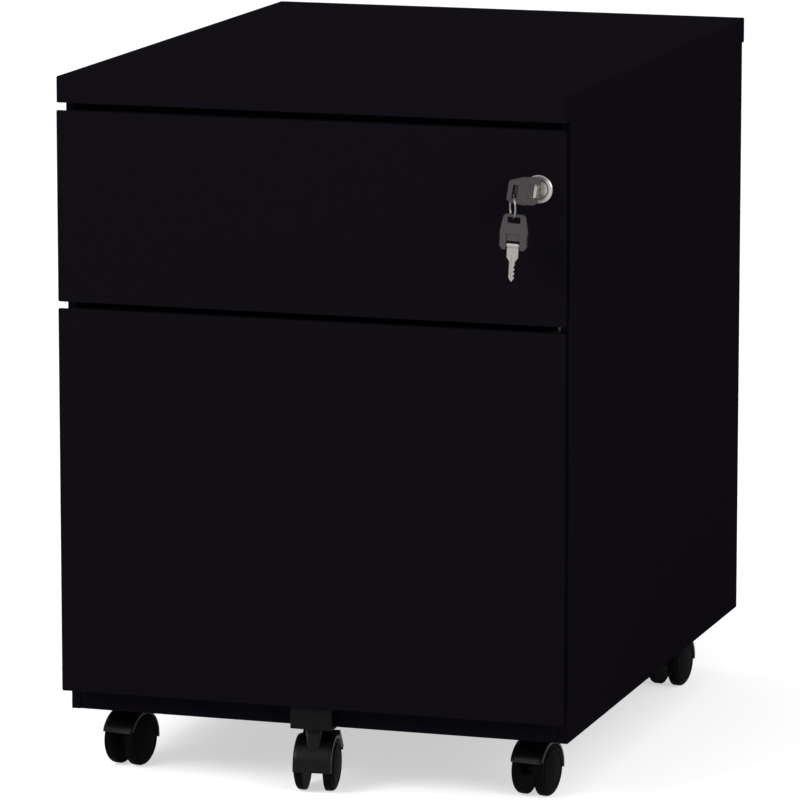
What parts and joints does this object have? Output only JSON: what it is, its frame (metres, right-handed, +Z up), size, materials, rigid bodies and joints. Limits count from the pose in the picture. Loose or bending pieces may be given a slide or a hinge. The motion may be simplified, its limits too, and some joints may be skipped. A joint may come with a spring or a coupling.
{
  "type": "mobile pedestal filing cabinet",
  "caption": "Steel mobile pedestal with a box drawer over a file drawer, cam lock with folding keys, side finger grips, swivel twin-wheel casters and an anti-tilt caster.",
  "frame": {"origin": "on the floor, under the middle of the outline, which counts in the keys that hang in front", "axes": "+Z up, -Y the way the drawer fronts face, +X to the right seen from the front"},
  "size_m": [0.39, 0.5528, 0.53],
  "materials": {
    "body_coat": "matt black powder coat",
    "tray_coat": "matt black powder coat",
    "zinc_steel": "zinc plated",
    "black_steel": "black oxide",
    "lock_metal": "nickel plated",
    "key_plastic": "fine grain",
    "guide_plastic": "natural nylon",
    "rail_plastic": "smooth",
    "hood_plastic": "satin",
    "wheel_plastic": "satin"
  },
  "bodies": {
    "cabinet": {"left_side_panel": "body_coat", "right_side_panel": "body_coat", "back_panel": "body_coat", "base_pan": "body_coat", "lid": "body_coat", "top_stretcher": "body_coat", "slide_uprights": "body_coat", "upper_slide_outers": "zinc_steel", "file_slide_outers": "zinc_steel", "lock_bar_guides": "guide_plastic", "caster_stems": "black_steel", "cabinet_fasteners": "zinc_steel"},
    "upper_middles": {"upper_slide_middles": "zinc_steel"},
    "file_middles": {"file_slide_middles": "zinc_steel"},
    "upper_drawer": {"upper_front": "body_coat", "upper_tray": "tray_coat", "upper_slide_inners": "zinc_steel", "lock_barrel": "lock_metal", "lock_nut": "zinc_steel", "upper_catch_pin": "zinc_steel", "upper_front_screws": "zinc_steel"},
    "file_drawer": {"file_front": "body_coat", "file_tray": "tray_coat", "hanging_rails": "rail_plastic", "file_slide_inners": "zinc_steel", "file_catch_pin": "zinc_steel", "anti_tilt_bracket": "body_coat", "anti_tilt_stem": "black_steel", "file_drawer_fasteners": "zinc_steel"},
    "lock_core": {"lock_plug": "lock_metal", "lock_cam": "zinc_steel", "key_blade": "lock_metal"},
    "lock_bar": {"lock_bar": "zinc_steel"},
    "key_head": {"key_head": "key_plastic", "key_pin": "lock_metal"},
    "key_ring": {"key_ring": "lock_metal"},
    "spare_key": {"spare_key_head": "key_plastic", "spare_key_pin": "lock_metal"},
    "spare_blade": {"spare_key_blade": "lock_metal"},
    "front_left_fork": {"front_left_caster_hood": "hood_plastic", "front_left_caster_axle": "zinc_steel"},
    "front_left_left_wheel": {"front_left_caster_left_wheel": "wheel_plastic"},
    "front_left_right_wheel": {"front_left_caster_right_wheel": "wheel_plastic"},
    "front_right_fork": {"front_right_caster_hood": "hood_plastic", "front_right_caster_axle": "zinc_steel"},
    "front_right_left_wheel": {"front_right_caster_left_wheel": "wheel_plastic"},
    "front_right_right_wheel": {"front_right_caster_right_wheel": "wheel_plastic"},
    "rear_left_fork": {"rear_left_caster_hood": "hood_plastic", "rear_left_caster_axle": "zinc_steel"},
    "rear_left_left_wheel": {"rear_left_caster_left_wheel": "wheel_plastic"},
    "rear_left_right_wheel": {"rear_left_caster_right_wheel": "wheel_plastic"},
    "rear_right_fork": {"rear_right_caster_hood": "hood_plastic", "rear_right_caster_axle": "zinc_steel"},
    "rear_right_left_wheel": {"rear_right_caster_left_wheel": "wheel_plastic"},
    "rear_right_right_wheel": {"rear_right_caster_right_wheel": "wheel_plastic"},
    "anti_tilt_fork": {"anti_tilt_caster_hood": "hood_plastic", "anti_tilt_caster_axle": "zinc_steel"},
    "anti_tilt_left_wheel": {"anti_tilt_caster_left_wheel": "wheel_plastic"},
    "anti_tilt_right_wheel": {"anti_tilt_caster_right_wheel": "wheel_plastic"},
    "brake_lever": {"brake_lever": "hood_plastic"}
  },
  "joints": [
    {"name": "upper_drawer", "type": "slide", "parent": "cabinet", "child": "upper_drawer", "axis": [0, -1, 0], "range_m": [0, 0.4]},
    {"name": "upper_middles", "type": "slide", "parent": "cabinet", "child": "upper_middles", "axis": [0, -1, 0], "range_m": [0, 0.2]},
    {"name": "file_drawer", "type": "slide", "parent": "cabinet", "child": "file_drawer", "axis": [0, -1, 0], "range_m": [0, 0.4]},
    {"name": "file_middles", "type": "slide", "parent": "cabinet", "child": "file_middles", "axis": [0, -1, 0], "range_m": [0, 0.2]},
    {"name": "lock_turn", "type": "hinge", "parent": "upper_drawer", "child": "lock_core", "pos_m": [0.1755, -0.24156, 0.4625], "axis": [0, 1, 0], "range_deg": [0, 90]},
    {"name": "lock_bar", "type": "slide", "parent": "cabinet", "child": "lock_bar", "axis": [0, 0, -1], "range_m": [0, 0.0099]},
    {"name": "key_fold", "type": "hinge", "parent": "lock_core", "child": "key_head", "pos_m": [0.1755, -0.25456, 0.4625], "axis": [0.1478, 0, 0.989], "range_deg": [-50, 39]},
    {"name": "ring_swing", "type": "hinge", "parent": "key_head", "child": "key_ring", "pos_m": [0.16341, -0.26892, 0.46052], "axis": [0.5135, -0.8581, 0], "range_deg": [-15, 15]},
    {"name": "spare_swing", "type": "hinge", "parent": "key_ring", "child": "spare_key", "pos_m": [0.16341, -0.26892, 0.44452], "axis": [0.5135, -0.8581, 0], "range_deg": [-15, 15]},
    {"name": "spare_fold", "type": "hinge", "parent": "spare_key", "child": "spare_blade", "pos_m": [0.16394, -0.26892, 0.42489], "axis": [-0.9986, 0, 0.0523], "range_deg": [0, 80]},
    {"name": "front_left_swivel", "type": "hinge", "parent": "cabinet", "child": "front_left_fork", "pos_m": [-0.16, -0.16956, 0.0502], "axis": [0, 0, 1], "continuous": true},
    {"name": "front_left_left_roll", "type": "hinge", "parent": "front_left_fork", "child": "front_left_left_wheel", "pos_m": [-0.16226, -0.18237, 0.02], "axis": [-0.9848, 0.1736, 0], "continuous": true},
    {"name": "front_left_right_roll", "type": "hinge", "parent": "front_left_fork", "child": "front_left_right_wheel", "pos_m": [-0.16226, -0.18237, 0.02], "axis": [-0.9848, 0.1736, 0], "continuous": true},
    {"name": "front_right_swivel", "type": "hinge", "parent": "cabinet", "child": "front_right_fork", "pos_m": [0.16, -0.16956, 0.0502], "axis": [0, 0, 1], "continuous": true},
    {"name": "front_right_left_roll", "type": "hinge", "parent": "front_right_fork", "child": "front_right_left_wheel", "pos_m": [0.15819, -0.18244, 0.02], "axis": [-0.9903, 0.1392, 0], "continuous": true},
    {"name": "front_right_right_roll", "type": "hinge", "parent": "front_right_fork", "child": "front_right_right_wheel", "pos_m": [0.15819, -0.18244, 0.02], "axis": [-0.9903, 0.1392, 0], "continuous": true},
    {"name": "rear_left_swivel", "type": "hinge", "parent": "cabinet", "child": "rear_left_fork", "pos_m": [-0.16, 0.21244, 0.0502], "axis": [0, 0, 1], "continuous": true},
    {"name": "rear_left_left_roll", "type": "hinge", "parent": "rear_left_fork", "child": "rear_left_left_wheel", "pos_m": [-0.16091, 0.19947, 0.02], "axis": [-0.9976, 0.0698, 0], "continuous": true},
    {"name": "rear_left_right_roll", "type": "hinge", "parent": "rear_left_fork", "child": "rear_left_right_wheel", "pos_m": [-0.16091, 0.19947, 0.02], "axis": [-0.9976, 0.0698, 0], "continuous": true},
    {"name": "rear_right_swivel", "type": "hinge", "parent": "cabinet", "child": "rear_right_fork", "pos_m": [0.16, 0.21244, 0.0502], "axis": [0, 0, 1], "continuous": true},
    {"name": "rear_right_left_roll", "type": "hinge", "parent": "rear_right_fork", "child": "rear_right_left_wheel", "pos_m": [0.15819, 0.19956, 0.02], "axis": [-0.9903, 0.1392, 0], "continuous": true},
    {"name": "rear_right_right_roll", "type": "hinge", "parent": "rear_right_fork", "child": "rear_right_right_wheel", "pos_m": [0.15819, 0.19956, 0.02], "axis": [-0.9903, 0.1392, 0], "continuous": true},
    {"name": "anti_tilt_swivel", "type": "hinge", "parent": "file_drawer", "child": "anti_tilt_fork", "pos_m": [0, -0.23081, 0.0502], "axis": [0, 0, 1], "continuous": true},
    {"name": "anti_tilt_left_roll", "type": "hinge", "parent": "anti_tilt_fork", "child": "anti_tilt_left_wheel", "pos_m": [-0.00147, -0.2179, 0.02], "axis": [0.9936, 0.1132, 0], "continuous": true},
    {"name": "anti_tilt_right_roll", "type": "hinge", "parent": "anti_tilt_fork", "child": "anti_tilt_right_wheel", "pos_m": [-0.00147, -0.2179, 0.02], "axis": [0.9936, 0.1132, 0], "continuous": true},
    {"name": "brake_press", "type": "hinge", "parent": "anti_tilt_fork", "child": "brake_lever", "pos_m": [-0.00283, -0.20597, 0.0445], "axis": [-0.9936, -0.1132, 0], "range_deg": [0, 8]}
  ],
  "couplings": [
    {"joint": "upper_middles", "follows": "upper_drawer", "ratio": 0.5},
    {"joint": "file_middles", "follows": "file_drawer", "ratio": 0.5},
    {"joint": "lock_turn", "follows": "lock_bar", "rad_per_m": 158.67}
  ]
}
